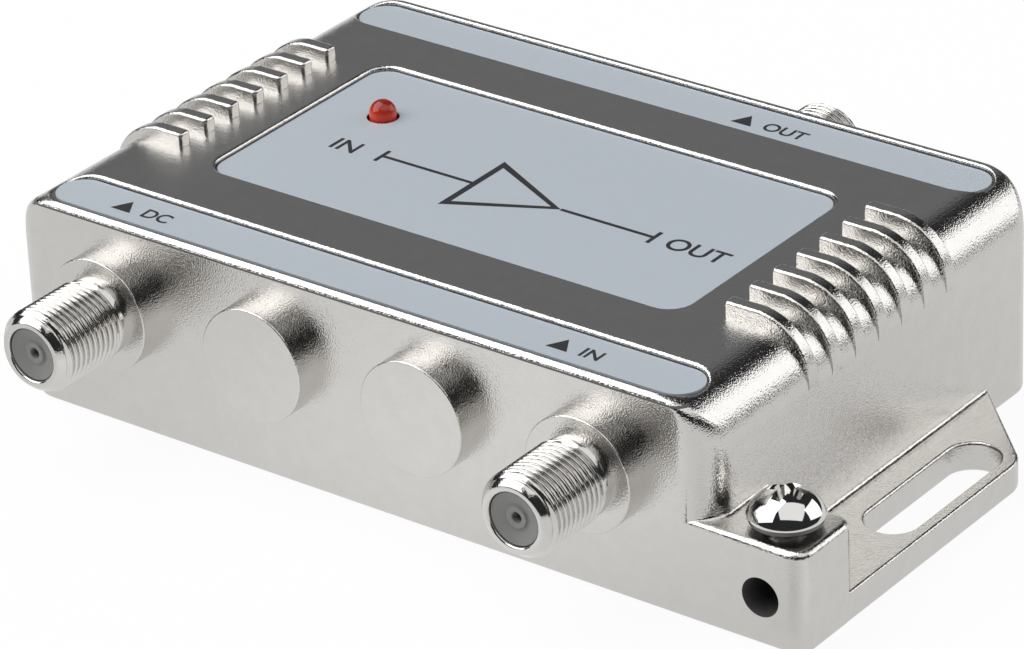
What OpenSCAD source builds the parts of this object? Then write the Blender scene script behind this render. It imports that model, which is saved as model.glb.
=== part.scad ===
// Signal amplifier for television cable: a die-cast housing with coaxial ports, cooling fins and fixing lugs.
// Millimetres. The origin is the middle of the housing on its base, +Z is up and the front faces -Y.

/* [Housing] */
// Width over the two side walls
body_w = 92.6; // [88:0.2:104]
// Depth over the front and rear walls
body_d = 62; // [58:0.2:74]
// Height of the flat top
body_h = 24.8; // [23:0.2:30]
// Thickness of the side, front and rear walls
wall = 2.2; // [1.6:0.1:2.8]
// Thickness of the top
top_t = 2.4; // [2:0.1:3]
// Radius of the upright corners
corner_r = 4; // [3:0.1:6]
// Radius of the large roll along the left and right top edges
roll_r = 6; // [5:0.1:7]
// Radius of the front and rear top edges
edge_r = 0.8; // [0.4:0.1:1.2]

/* [Cooling fins] */
// Fins on each side
fin_count = 7; // [3:1:7]
// Distance from one fin to the next
fin_pitch = 4.3; // [3.6:0.1:5]
// Thickness of a fin
fin_t = 1.7; // [1.2:0.1:2.6]
// Height of the fins above the flat top
fin_h = 1.6; // [0.8:0.1:2.4]
// Distance from the wall to the inner end of a fin
fin_reach = 10; // [8:0.1:12]
// Radius of a fin's outer edge where it rolls down the side
fin_r = 6.8; // [5.5:0.1:7.2]
// How far a fin stands out of the side wall
fin_proud = 0.15; // [0.1:0.05:0.5]
// Distance of the row of fins behind the middle
fin_shift = 0.7; // [0:0.1:1.5]

/* [Label recesses] */
// Depth of the recesses
recess_depth = 0.7; // [0.4:0.05:0.9]
// Thickness of the foil labels
label_t = 0.25; // [0.1:0.05:0.35]
// Gap between a label and the edge of its recess
label_gap = 0.25; // [0.1:0.05:0.5]
// Gap between the front label and the front edge of its recess
front_label_gap = 0.95; // [0.25:0.05:1.2]
// Width of the main recess
main_w = 63; // [50:0.5:66]
// Depth of the main recess from front to rear
main_d = 31.3; // [24:0.1:34]
// Corner radius of the main recess
main_r = 2.8; // [2:0.1:6]
// Distance of the main recess behind the middle
main_shift = 0.4; // [0:0.1:1.5]
// Length of the strips along the front and rear edges
strip_l = 85.4; // [60:0.2:85.6]
// Width of the front strip
front_strip_w = 6.9; // [4:0.1:7.5]
// Width of the rear strip
rear_strip_w = 6.4; // [4:0.1:7]
// Distance from the strips to the walls
strip_margin = 0.85; // [0.8:0.05:1.5]

/* [Ports] */
// Distance from one port to the next
port_pitch = 21.3; // [18:0.1:22]
// Height of the port axes
port_z = 14.6; // [13:0.1:15]
// Radius of the port bosses
boss_r = 6.6; // [6:0.1:7.2]
// Height of the port bosses
boss_h = 2.8; // [1.5:0.1:4]
// Major diameter of the port thread
thread_d = 9.525; // [9:0.005:10]
// Pitch of the port thread
thread_pitch = 0.794; // [0.7:0.002:1]
// Ridges of the port thread
thread_turns = 10; // [6:1:14]
// Depth of the port thread
thread_depth = 0.45; // [0.3:0.05:0.5]
// Length of the plain neck between boss and thread
neck_l = 1.5; // [0.5:0.1:3]
// Length of the tapered nose
nose_l = 1.4; // [0.6:0.1:2]
// Radius of the nose at its tip
nose_r = 3.75; // [3.5:0.05:4.2]
// Bore of a port barrel
barrel_bore_r = 3.05; // [2.8:0.01:3.3]
// Radius of the spigot that a barrel is pressed in by
spigot_r = 4.3; // [4:0.05:4.5]
// Depth of the insulator behind the tip of the barrel
insulator_recess = 0.6; // [0.4:0.1:2]
// Radius of the ring round the contact hole
ring_r = 1.25; // [1:0.05:1.6]
// Radius of the contact hole
contact_hole_r = 0.58; // [0.5:0.01:0.65]
// Radius of a contact
contact_r = 0.95; // [0.85:0.01:1]
// Radius of a contact's tail on the board
tail_r = 0.5; // [0.4:0.05:0.6]
// Gap round pieces that are pushed into one another
fit_gap = 0.03; // [0.01:0.01:0.06]

/* [Indicator] */
// Distance of the indicator to the left of the middle
led_x = 23.3; // [18:0.1:27]
// Distance of the indicator behind the middle
led_y = 5.9; // [2:0.1:9]
// Radius of the indicator
led_r = 1.7; // [1.4:0.05:2]
// Gap round the indicator in the top
led_gap = 0.15; // [0.1:0.05:0.3]
// Radius of the indicator's legs
led_leg_r = 0.25; // [0.2:0.05:0.3]

/* [Lugs and earth terminal] */
// Distance from a side wall to the outer edge of its lug
lug_w = 11.2; // [10:0.1:14]
// Thickness of the lugs
lug_t = 3.5; // [2.5:0.1:5]
// Length of a lug along the wall
lug_l = 52; // [46:0.2:56]
// Width of the fixing slots
slot_w = 6; // [4.5:0.1:6.5]
// Length of the fixing slots
slot_l = 21.4; // [14:0.2:22]
// Distance from the wall to the middle of a slot
slot_offset = 6.6; // [6:0.1:7]
// Distance from the slanted end of a lug to the middle of its slot
slot_inset = 21; // [19:0.2:23]
// Depth of the earth block from front to rear
block_d = 9.7; // [8:0.1:10]
// Height of the earth block
block_h = 11.6; // [10:0.1:13]
// Radius of the outer corners of block and lugs
lug_corner_r = 2; // [0.5:0.1:3]
// Diameter of the wire hole
wire_d = 4.4; // [3.6:0.1:4.6]
// Height of the wire hole
wire_z = 5.5; // [4.6:0.1:5.8]
// Depth of the wire hole
wire_depth = 7.2; // [6:0.1:7.4]
// Distance from the wall to the earth screw
screw_offset = 6; // [5.4:0.1:6.4]
// Nominal diameter of the earth screw
screw_d = 4; // [3:0.1:4.4]
// Clearance round the screw's shank
screw_clear = 0.05; // [0.02:0.01:0.08]
// Distance from the screw's tip to the wire hole when the terminal is open
tip_gap = 0.3; // [0.2:0.05:0.6]
// Diameter of the screw head
head_d = 8.2; // [7:0.1:9]
// Height of the screw head
head_h = 2.9; // [2.2:0.1:3.4]
// Height of the upright rim of the head
head_rim_h = 0.5; // [0.5:0.1:1.4]
// Width of the arms of the cross recess
cross_w = 1.3; // [0.8:0.1:1.6]
// Span of the cross recess
cross_l = 4.6; // [3.6:0.1:5]
// Depth of the cross recess
cross_depth = 1.9; // [1:0.1:2]
// Thickness of the captive washer
washer_t = 0.5; // [0.3:0.1:0.8]
// Radius of the captive washer
washer_r = 3.9; // [3.5:0.1:4.4]
// Gap between the washer and the block when the terminal is open
washer_gap = 0.7; // [0.65:0.05:1.5]

/* [Cover and board] */
// Thickness of the bottom cover
cover_t = 1; // [0.6:0.1:1.5]
// How far the cover lies above the base
cover_inset = 0.2; // [0.1:0.05:0.5]
// Width of the ledge that the cover rests on
ledge = 0.8; // [0.5:0.1:1.2]
// Gap round the cover
cover_gap = 0.1; // [0.05:0.05:0.2]
// Thickness of the board
board_t = 1.6; // [1:0.1:2]
// Gap between the board and the walls
board_gap = 1.2; // [0.5:0.1:2]
// Radius of the posts that carry the board
post_r = 2.8; // [2.2:0.1:3.2]
// Distance from the board's side edges to its screws
post_inset = 4; // [3.6:0.1:5]
// Gap between the posts and the tails of the contacts
post_gap = 0.6; // [0.4:0.1:2]
// Gap between the posts and the board parts beside them
part_gap = 0.6; // [0.4:0.1:2]
// Radius of the board screws
board_screw_r = 1.1; // [0.8:0.05:1.3]
// Depth of the board screws in the posts
board_screw_l = 5; // [3:0.5:6]
// Radius of the heads of the board screws
board_head_r = 2.2; // [1.8:0.1:2.6]
// Height of the heads of the board screws
board_head_h = 1.5; // [1:0.1:2]

/* [Board parts] */
// Side of the amplifier chip
chip_w = 7; // [5:0.5:9]
// Height of the amplifier chip
chip_h = 1.5; // [1:0.1:2]
// Distance of the chip to the right of the middle
chip_x = 14; // [12:0.5:16]
// Thickness of the thermal pad
pad_t = 0.8; // [0.5:0.1:1.2]
// Radius of the smoothing capacitors
can_r = 3.1; // [2.5:0.1:3.4]
// Gap above the smoothing capacitors
can_gap = 1.4; // [0.8:0.1:2]
// Radius of the choke's drum core
choke_r = 4; // [3:0.1:4.5]
// Height of the choke's drum core
choke_h = 4.5; // [3:0.1:5]
// Radius of the ferrite rings
ring_core_r = 2.8; // [2:0.1:3.2]
// Height of the ferrite rings
ring_core_h = 2.6; // [1.5:0.1:3.5]
// Radius of the surge arrester
arrester_r = 2.2; // [1.8:0.1:2.5]
// Length of the surge arrester
arrester_l = 6; // [4:0.5:7]
// Radius of the tuning coils
coil_r = 1.4; // [1:0.1:1.6]
// Length of the tuning coils
coil_l = 4; // [3:0.5:5]
// Thickness of the shield wall
shield_t = 0.5; // [0.3:0.05:0.8]
// Gap between the shield wall and the top
shield_gap = 0.2; // [0.1:0.05:0.5]

/* [Hidden] */
$fn = 96;

// Overrun of cuts past the faces that they open
over = 1;
wall_x = body_w / 2;
front_y = -body_d / 2;
rear_y = body_d / 2;
recess_z = body_h - recess_depth;
ceiling_z = body_h - top_t;
front_strip_y = front_y + strip_margin + front_strip_w / 2;
rear_strip_y = rear_y - strip_margin - rear_strip_w / 2;

// Ports: four places at the front, of which the outer two are fitted, and one at the rear
thread_r = thread_d / 2;
thread_crest = 0.2;
thread_root = 0.15;
thread_from = boss_h + neck_l;
thread_l = thread_turns * thread_pitch;
port_l = thread_from + thread_l + nose_l;
spigot_proud = 0.6;
spigot_l = wall + spigot_proud;
power_x = -1.5 * port_pitch;
input_x = 1.5 * port_pitch;
output_x = 0.5 * port_pitch;
insulator_front = port_l - insulator_recess;
insulator_back = -spigot_l;
insulator_lip = 0.9;
ring_h = 0.25;
contact_bore_l = 7;
tail_l = 8;

// Board and what stands on it
board_top = port_z - tail_r - fit_gap;
board_w = body_w - 2 * (wall + board_gap);
board_d = body_d - 2 * (wall + board_gap);
headroom = ceiling_z - board_top;
board_hole_gap = 0.2;
post_x = board_w / 2 - post_inset;
post_y = body_d / 2 - tail_l - post_gap - post_r;
beside_posts_y = post_y - post_r - part_gap;
chip_y = 2;
regulator_size = [6.5, 3.5, 1.7];
regulator_at = [power_x + 8, -8];
diode_size = [2.6, 4.3, 2.2];
diode_at = [power_x, diode_size[1] / 2 - beside_posts_y];
can_y = -7;
can_pitch = 2 * can_r + 2;
choke_at = [power_x + 10, -16];
choke_waist = 0.8;
ring_core_places = [[input_x - 8, -14], [input_x - 8, -4], [output_x, 15]];
coil_from = [input_x - 3, 2];
coil_pitch = 4;
coil_count = 4;
arrester_y = arrester_r - beside_posts_y;
row_from_x = -6;
row_pitch = 4;
ceramic_size = [2, 1.2, 0.9];
ceramic_rows = [-20, -16, 20];
ceramics_in_row = 5;
resistor_size = [2, 1.2, 0.5];
resistor_rows = [-12, -8, 10];
resistors_in_row = 4;

// Lugs and earth terminal
lug_root_x = wall_x - corner_r - lug_corner_r;
lug_root_w = wall_x + lug_w - lug_root_x;
lug_end_y = front_y + lug_l;
terminal_x = wall_x + screw_offset;
terminal_y = front_y + block_d / 2;
screw_r = screw_d / 2;
wire_r = wire_d / 2;
washer_z = block_h + washer_gap;
head_z = washer_z + washer_t + fit_gap;
tip_z = wire_z + wire_r + tip_gap;
washer_hole_r = screw_r + 0.3;

// Cover
cover_seat = cover_inset + cover_t;
cover_w = body_w - 2 * (wall - ledge);
cover_d = body_d - 2 * (wall - ledge);

// Indicator: its flange stays below the top, and its legs stand on the board
led_flange_w = 0.4;
led_flange_t = 1;
led_flange_gap = 1.4;
led_foot_z = ceiling_z - led_flange_gap - led_flange_t;
led_leg_pitch = 2.54;

// Rectangle with round corners, about the origin
module rounded_rect(w, d, r) {
    square([w - 2 * r, d], center = true);
    square([w, d - 2 * r], center = true);
    for (x = [-1, 1], y = [-1, 1])
        translate([x * (w / 2 - r), y * (d / 2 - r)])
            circle(r);
}

// Bar with fully round ends, about the origin and along X
module stadium(l, w) {
    square([l - w, w], center = true);
    for (x = [-1, 1])
        translate([x * (l - w) / 2, 0])
            circle(w / 2);
}

// Arch of a given width and height with round upper corners, standing on the X axis
module arch(w, h, r) {
    translate([-w / 2, 0])
        square([w, h - r]);
    translate([-w / 2 + r, 0])
        square([w - 2 * r, h]);
    for (x = [-1, 1])
        translate([x * (w / 2 - r), h - r])
            circle(r);
}

// Runs a shape drawn in X and Z along Y, about the middle
module along_y(l) {
    rotate([90, 0, 0])
        linear_extrude(l, center = true)
            children();
}

// Runs a shape drawn in Y and Z along X, about the middle
module along_x(l) {
    rotate([90, 0, 90])
        linear_extrude(l, center = true)
            children();
}

// Puts a port drawn along +Z on the front or the rear wall, with its foot on the wall's face
module at_front(x) {
    translate([x, front_y, port_z])
        rotate([90, 0, 0])
            children();
}

module at_rear(x) {
    translate([x, rear_y, port_z])
        rotate([-90, 0, 0])
            children();
}

// Both halves of what is repeated at half a turn round the upright axis
module half_turn_pair() {
    children();
    rotate([0, 0, 180])
        children();
}

// Stands a piece on the board
module on_board(place) {
    translate([place[0], place[1], board_top])
        children();
}

// Box with its foot on the XY plane
module standing_box(size) {
    translate([-size[0] / 2, -size[1] / 2, 0])
        cube(size);
}

module body_block() {
    intersection() {
        linear_extrude(body_h)
            rounded_rect(body_w, body_d, corner_r);
        along_y(body_d + 2 * over)
            arch(body_w, body_h, roll_r);
        along_x(body_w + 2 * over)
            arch(body_d, body_h, edge_r);
    }
}

module body_cavity() {
    intersection() {
        translate([0, 0, cover_seat])
            linear_extrude(ceiling_z - cover_seat)
                rounded_rect(body_w - 2 * wall, body_d - 2 * wall, corner_r - wall);
        along_y(body_d)
            arch(body_w - 2 * wall, ceiling_z, roll_r - wall);
    }
    translate([0, 0, -over])
        linear_extrude(cover_seat + over)
            rounded_rect(cover_w, cover_d, corner_r - wall + ledge);
}

module fin_profile() {
    top_z = body_h + fin_h;
    out_x = wall_x + fin_proud;
    translate([wall_x - fin_reach, top_z - fin_r])
        square([fin_reach + fin_proud - fin_r, fin_r]);
    translate([out_x - fin_r, top_z - fin_r])
        intersection() {
            circle(fin_r);
            square(fin_r);
        }
}

module fin_row() {
    for (i = [0 : fin_count - 1])
        translate([0, fin_shift + (i - (fin_count - 1) / 2) * fin_pitch, 0])
            along_y(fin_t)
                fin_profile();
}

// Outline of a lug: round outer corners, and the far end cut off at a slant
module lug_plan() {
    difference() {
        translate([lug_root_x + lug_root_w / 2, front_y + lug_l / 2])
            rounded_rect(lug_root_w, lug_l, lug_corner_r);
        polygon([
            [wall_x + lug_w + over, lug_end_y - lug_w - over],
            [wall_x + lug_w + over, lug_end_y + over],
            [wall_x - over, lug_end_y + over],
        ]);
    }
}

module slot_plan() {
    translate([wall_x + slot_offset, lug_end_y - slot_inset])
        rotate(90)
            stadium(slot_l, slot_w);
}

module earth_block() {
    translate([lug_root_x + lug_root_w / 2, terminal_y, 0])
        linear_extrude(block_h)
            rounded_rect(lug_root_w, block_d, lug_corner_r);
}

// Cuts a recess of the outline drawn below it into the top
module label_recess(y) {
    translate([0, y, recess_z])
        linear_extrude(recess_depth + over)
            children();
}

// Lays a foil of the outline drawn below it into a recess
module label(y) {
    translate([0, y, recess_z])
        linear_extrude(label_t)
            children();
}

module at_posts() {
    for (x = [-1, 1], y = [-1, 1])
        translate([x * post_x, y * post_y, 0])
            children();
}

module posts() {
    at_posts()
        translate([0, 0, board_top])
            cylinder(r = post_r, h = headroom + top_t / 2);
}

module heat_pedestal() {
    foot = board_top + chip_h + pad_t;
    translate([chip_x, chip_y, foot])
        standing_box([chip_w, chip_w, ceiling_z + top_t / 2 - foot]);
}

module port_bore() {
    translate([0, 0, -spigot_l - over])
        cylinder(r = spigot_r + fit_gap, h = spigot_l + boss_h + 2 * over);
}

module housing() {
    color("Gainsboro")
        difference() {
            union() {
                difference() {
                    union() {
                        body_block();
                        fin_row();
                        mirror([1, 0, 0])
                            fin_row();
                        for (i = [0 : 3])
                            at_front((i - 1.5) * port_pitch)
                                translate([0, 0, -wall / 2])
                                    cylinder(r = boss_r, h = boss_h + wall / 2);
                        at_rear(output_x)
                            translate([0, 0, -wall / 2])
                                cylinder(r = boss_r, h = boss_h + wall / 2);
                        half_turn_pair()
                            linear_extrude(lug_t)
                                lug_plan();
                        earth_block();
                    }
                    body_cavity();
                }
                posts();
                heat_pedestal();
            }
            label_recess(main_shift)
                rounded_rect(main_w, main_d, main_r);
            label_recess(front_strip_y)
                stadium(strip_l, front_strip_w);
            label_recess(rear_strip_y)
                stadium(strip_l, rear_strip_w);
            at_front(power_x)
                port_bore();
            at_front(input_x)
                port_bore();
            at_rear(output_x)
                port_bore();
            translate([-led_x, led_y, ceiling_z - over])
                cylinder(r = led_r + led_gap, h = top_t + 2 * over);
            half_turn_pair()
                translate([0, 0, -over])
                    linear_extrude(lug_t + 2 * over)
                        slot_plan();
            translate([terminal_x, front_y + wire_depth, wire_z])
                rotate([90, 0, 0])
                    cylinder(r = wire_r, h = wire_depth + over);
            translate([terminal_x, terminal_y, wire_z])
                cylinder(r = screw_r + screw_clear, h = block_h - wire_z + over);
            at_posts()
                translate([0, 0, board_top - over])
                    cylinder(r = board_screw_r + fit_gap, h = board_screw_l + 2 * over);
        }
}

module bottom_cover() {
    color("LightSteelBlue")
        translate([0, 0, cover_inset])
            linear_extrude(cover_t)
                rounded_rect(cover_w - 2 * cover_gap, cover_d - 2 * cover_gap, corner_r - wall + ledge);
}

// Half section of a barrel: spigot, neck, ridges and tapered nose, with Y along the axis
module barrel() {
    crest = thread_pitch * thread_crest;
    root = thread_pitch * thread_root;
    flank = (thread_pitch - crest - root) / 2;
    root_r = thread_r - thread_depth;
    ridges = [
        for (i = [0 : thread_turns - 1])
            let (z = thread_from + i * thread_pitch)
                each [
                    [thread_r, z],
                    [root_r, z + flank],
                    [root_r, z + flank + root],
                    [thread_r, z + 2 * flank + root],
                ]
    ];
    spigot = [[barrel_bore_r, -spigot_l], [spigot_r, -spigot_l], [spigot_r, boss_h], [thread_r, boss_h]];
    nose = [[thread_r, thread_from + thread_l], [nose_r, port_l], [barrel_bore_r, port_l]];
    rotate_extrude()
        polygon(concat(spigot, ridges, nose));
}

module port() {
    color("Silver")
        barrel();
}

module insulator() {
    bore_l = insulator_front - insulator_lip - insulator_back;
    color("DimGray")
        difference() {
            union() {
                translate([0, 0, insulator_back])
                    cylinder(r = barrel_bore_r - fit_gap, h = insulator_front - insulator_back);
                cylinder(r = ring_r, h = insulator_front + ring_h);
            }
            translate([0, 0, insulator_back - over])
                cylinder(r = contact_r + fit_gap, h = bore_l + over);
            cylinder(r = contact_hole_r, h = insulator_front + ring_h + over);
        }
}

module contact() {
    front = insulator_front - insulator_lip - fit_gap;
    color("Goldenrod")
        difference() {
            union() {
                translate([0, 0, insulator_back])
                    cylinder(r = contact_r, h = front - insulator_back);
                translate([0, 0, -tail_l])
                    cylinder(r = tail_r, h = tail_l);
            }
            translate([0, 0, front - contact_bore_l])
                cylinder(r = contact_hole_r, h = contact_bore_l + over);
        }
}

module power_port() {
    at_front(power_x)
        port();
}

module input_port() {
    at_front(input_x)
        port();
}

module output_port() {
    at_rear(output_x)
        port();
}

module power_insulator() {
    at_front(power_x)
        insulator();
}

module input_insulator() {
    at_front(input_x)
        insulator();
}

module output_insulator() {
    at_rear(output_x)
        insulator();
}

module power_contact() {
    at_front(power_x)
        contact();
}

module input_contact() {
    at_front(input_x)
        contact();
}

module output_contact() {
    at_rear(output_x)
        contact();
}

module main_label() {
    color("LightSteelBlue")
        difference() {
            label(main_shift)
                rounded_rect(main_w - 2 * label_gap, main_d - 2 * label_gap, main_r - label_gap);
            translate([-led_x, led_y, recess_z - over])
                cylinder(r = led_r + led_gap, h = label_t + 2 * over);
        }
}

module front_label() {
    color("LightSteelBlue")
        label(front_strip_y + (front_label_gap - label_gap) / 2)
            stadium(strip_l - 2 * label_gap, front_strip_w - label_gap - front_label_gap);
}

module rear_label() {
    color("LightSteelBlue")
        label(rear_strip_y)
            stadium(strip_l - 2 * label_gap, rear_strip_w - 2 * label_gap);
}

module status_led() {
    dome_z = recess_z + label_t;
    color("Red")
        translate([-led_x, led_y, led_foot_z]) {
            cylinder(r = led_r + led_flange_w, h = led_flange_t);
            cylinder(r = led_r, h = dome_z - led_foot_z);
            translate([0, 0, dome_z - led_foot_z])
                sphere(led_r);
        }
}

module led_leads() {
    color("Silver")
        for (x = [-0.5, 0.5])
            on_board([-led_x + x * led_leg_pitch, led_y])
                cylinder(r = led_leg_r, h = led_foot_z - board_top);
}

// Pan head: an upright rim under a crown that curves in to a flat top
module head_solid() {
    crown_h = head_h - head_rim_h;
    flat_r = head_d / 2 - crown_h;
    cylinder(d = head_d, h = head_rim_h);
    translate([0, 0, head_rim_h])
        rotate_extrude() {
            square([flat_r, crown_h]);
            translate([flat_r, 0])
                intersection() {
                    circle(crown_h);
                    square(crown_h);
                }
        }
}

module earth_screw() {
    color("Gainsboro")
        translate([terminal_x, terminal_y, 0]) {
            translate([0, 0, tip_z])
                cylinder(r = screw_r, h = head_z - tip_z);
            translate([0, 0, head_z])
                difference() {
                    head_solid();
                    translate([0, 0, head_h - cross_depth]) {
                        standing_box([cross_l, cross_w, cross_depth + over]);
                        standing_box([cross_w, cross_l, cross_depth + over]);
                    }
                }
        }
}

module earth_washer() {
    color("DimGray")
        translate([terminal_x, terminal_y, washer_z])
            difference() {
                cylinder(r = washer_r, h = washer_t);
                translate([0, 0, -over])
                    cylinder(r = washer_hole_r, h = washer_t + 2 * over);
            }
}

module circuit_board() {
    color("SeaGreen")
        difference() {
            translate([0, 0, board_top - board_t])
                linear_extrude(board_t)
                    square([board_w, board_d], center = true);
            at_posts()
                translate([0, 0, board_top - board_t - over])
                    cylinder(r = board_screw_r + board_hole_gap, h = board_t + 2 * over);
        }
}

module board_screws() {
    color("Silver")
        at_posts() {
            translate([0, 0, board_top - board_t - board_head_h])
                cylinder(r = board_head_r, h = board_head_h);
            translate([0, 0, board_top - board_t - board_head_h])
                cylinder(r = board_screw_r, h = board_head_h + board_t + board_screw_l);
        }
}

module amplifier_chip() {
    color("DarkSlateGray")
        on_board([chip_x, chip_y])
            standing_box([chip_w, chip_w, chip_h]);
}

module thermal_pad() {
    color("LightGray")
        translate([chip_x, chip_y, board_top + chip_h])
            standing_box([chip_w, chip_w, pad_t]);
}

module voltage_regulator() {
    color("DarkSlateGray")
        on_board(regulator_at)
            standing_box(regulator_size);
}

module protection_diode() {
    color("DarkSlateGray")
        on_board(diode_at)
            standing_box(diode_size);
}

module smoothing_capacitors() {
    can_h = headroom - can_gap;
    color("SteelBlue")
        for (i = [0, 1])
            on_board([power_x, can_y + i * can_pitch])
                cylinder(r = can_r, h = can_h);
}

// Drum core: two flanges with the winding between them
module dc_choke() {
    flange_h = choke_h / 4;
    waist_r = choke_r * choke_waist;
    color("DarkSlateGray")
        on_board(choke_at)
            rotate_extrude()
                polygon([
                    [0, 0],
                    [choke_r, 0],
                    [choke_r, flange_h],
                    [waist_r, flange_h],
                    [waist_r, choke_h - flange_h],
                    [choke_r, choke_h - flange_h],
                    [choke_r, choke_h],
                    [0, choke_h],
                ]);
}

module ferrite_transformers() {
    color("DarkSlateGray")
        for (place = ring_core_places)
            on_board(place)
                difference() {
                    cylinder(r = ring_core_r, h = ring_core_h);
                    translate([0, 0, -over])
                        cylinder(r = ring_core_r / 2, h = ring_core_h + 2 * over);
                }
}

module tuning_coils() {
    color("Peru")
        for (i = [0 : coil_count - 1])
            on_board(coil_from + [0, i * coil_pitch])
                translate([0, 0, coil_r])
                    rotate([0, 90, 0])
                        cylinder(r = coil_r, h = coil_l);
}

module surge_arrester() {
    color("Silver")
        on_board([input_x - arrester_l / 2, arrester_y])
            translate([0, 0, arrester_r])
                rotate([0, 90, 0])
                    cylinder(r = arrester_r, h = arrester_l);
}

module shield_wall() {
    color("Silver")
        on_board([-port_pitch / 2, 0])
            standing_box([shield_t, board_d - 2 * post_inset, headroom - shield_gap]);
}

// Rows of small parts between the shield wall and the chip
module chip_row(count, y, size) {
    for (i = [0 : count - 1])
        on_board([row_from_x + i * row_pitch, y])
            standing_box(size);
}

module ceramic_capacitors() {
    color("Tan")
        for (y = ceramic_rows)
            chip_row(ceramics_in_row, y, ceramic_size);
}

module chip_resistors() {
    color("Black")
        for (y = resistor_rows)
            chip_row(resistors_in_row, y, resistor_size);
}

housing();
bottom_cover();
power_port();
input_port();
output_port();
power_insulator();
input_insulator();
output_insulator();
power_contact();
input_contact();
output_contact();
main_label();
front_label();
rear_label();
status_led();
led_leads();
earth_screw();
earth_washer();
circuit_board();
board_screws();
amplifier_chip();
thermal_pad();
voltage_regulator();
protection_diode();
smoothing_capacitors();
dc_choke();
ferrite_transformers();
tuning_coils();
surge_arrester();
shield_wall();
ceramic_capacitors();
chip_resistors();
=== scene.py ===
import math

import bpy
from mathutils import Matrix, Vector


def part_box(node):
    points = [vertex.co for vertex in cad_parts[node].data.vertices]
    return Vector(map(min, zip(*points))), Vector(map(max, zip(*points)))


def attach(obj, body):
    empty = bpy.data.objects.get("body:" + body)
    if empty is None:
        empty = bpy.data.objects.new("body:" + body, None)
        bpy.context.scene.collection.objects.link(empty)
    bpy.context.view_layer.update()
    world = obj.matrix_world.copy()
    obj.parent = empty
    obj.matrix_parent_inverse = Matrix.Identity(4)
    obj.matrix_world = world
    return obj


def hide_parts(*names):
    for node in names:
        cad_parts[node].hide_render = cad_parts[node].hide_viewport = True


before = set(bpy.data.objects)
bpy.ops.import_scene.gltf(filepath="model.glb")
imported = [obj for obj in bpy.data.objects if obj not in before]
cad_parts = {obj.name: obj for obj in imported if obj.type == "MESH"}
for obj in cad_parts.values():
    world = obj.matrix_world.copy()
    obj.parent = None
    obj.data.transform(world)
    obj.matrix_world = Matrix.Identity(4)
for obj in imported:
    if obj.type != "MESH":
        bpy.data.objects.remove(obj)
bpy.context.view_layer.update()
scene = bpy.context.scene
bpy.context.tool_settings.mesh_select_mode = (False, True, False)

# Pieces are modelled in millimetres and brought to metres when they are finished
MM = 0.001
# Points this close are merged, and a turned profile meets its axis in a tiny ring that merges too
MERGE, POLE_R, POLE_MERGE = 0.0005, 0.001, 0.0012
# How near a point counts as on a face or an edge
NEAR = 0.01
# How far a cutter passes the face that it opens, and how far a joined piece starts inside the other
OVER, LAP = 1.0, 0.5
# How far a lug stays inside the block that it runs into, and the slack where surfaces meet
HAIR = 0.02


def box(node):
    """Lowest and highest corner of a CAD node, in millimetres."""
    return [Vector(corner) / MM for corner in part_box(node)]


def middle(node):
    low, high = box(node)
    return (low + high) / 2


# Housing: half width, half depth and height, then its rounds
HALF_W, HALF_D, TOP = 46.3, 31.0, 24.8
CORNER_R, ROLL_R, EDGE_R, REAR_EDGE_R, FOOT_R = 4.0, 6.0, 0.8, 0.25, 0.5
ROLL_X, ROLL_Z = HALF_W - ROLL_R, TOP - ROLL_R
# Upright corners grow tighter on the roll, down to this radius and by this power
TIGHT_R, TIGHT_POWER = 1.5, 2.2
# Rings of the roll: steps of its turn, steps of an edge's round, and the least turn between two rings
ROLL_STEPS, EDGE_STEPS, LEAST_TURN = 18, 6, 0.008
# Inside: wall, ceiling, and the cover's seat with its ledge
WALL, CEILING = 2.2, 22.4
SEAT_Z, LEDGE = 1.2, 0.8
# Posts of the board: radius, distance from the board's end, and place in Y
POST_R, POST_INSET, POST_Y = 2.8, 4, 19.6

# Recesses of the labels: floor, and (half width, half depth, corner radius, middle in Y, round of the rim)
RECESS_Z = TOP - 0.7
RECESSES = {
    "main": (31.5, 15.65, 2.8, 0.4, 0.4),
    "front": (42.7, 3.45, 3.45, -26.7, 0.4),
    "rear": (42.7, 3.2, 3.2, 26.95, 0.3),
}
# Where the roll takes the rim down to the floor, the rim keeps this height and slope
RIM_LEAST, RIM_SLOPE, RECESS_STEPS = 0.05, 0.1, 14

# Fins: inner ends on the right and the left, half thickness, height, pitch, count and middle of the row
FIN_RIGHT, FIN_LEFT = 35.9, 36.6
FIN_HALF, FIN_H, FIN_PITCH, FIN_COUNT, FIN_SHIFT = 0.85, 1.6, 4.3, 7, 0.7
# Rounds of a fin: foot of the inner end, its upright edges, and the crest, at most this share of the height
FIN_END_R, FIN_TIP_R, FIN_CREST_R, CREST_SHARE = 0.08, 0.35, 0.34, 0.3
# Outer curve of a fin: radius, how far it stands out of the side, how far its tail sinks, depth of its root
FIN_R, FIN_PROUD, FIN_SINK, FIN_ROOT = 6.8, 0.15, 0.1, 0.4

# Ports, along their own axis from the wall. The blank bosses stand between them
PORT_Z = middle("input_port").z
PORTS = {name: middle(name + "_port").x for name in ("power", "input", "output")}
BLANKS = (PORTS["power"] / 3, PORTS["input"] / 3)
BOSS_R, BOSS_H, BOSS_EDGE_R = 6.6, 2.8, 0.18
BORE_R, SPIGOT_R, SPIGOT_L = 3.05, 4.3, 2.8
SPIGOT_HOLE_R, SPIGOT_HOLE_L = SPIGOT_R + 0.03, 3
NECK_R, NECK_END, NECK_SEAT = 4.55, 4.3, BOSS_H - 0.05
THREAD_R, THREAD_DEPTH, THREAD_PITCH, THREAD_END = 4.7625, 0.45, 0.794, 12.7
NOSE_R, TIP = 3.75, 13.64
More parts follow.
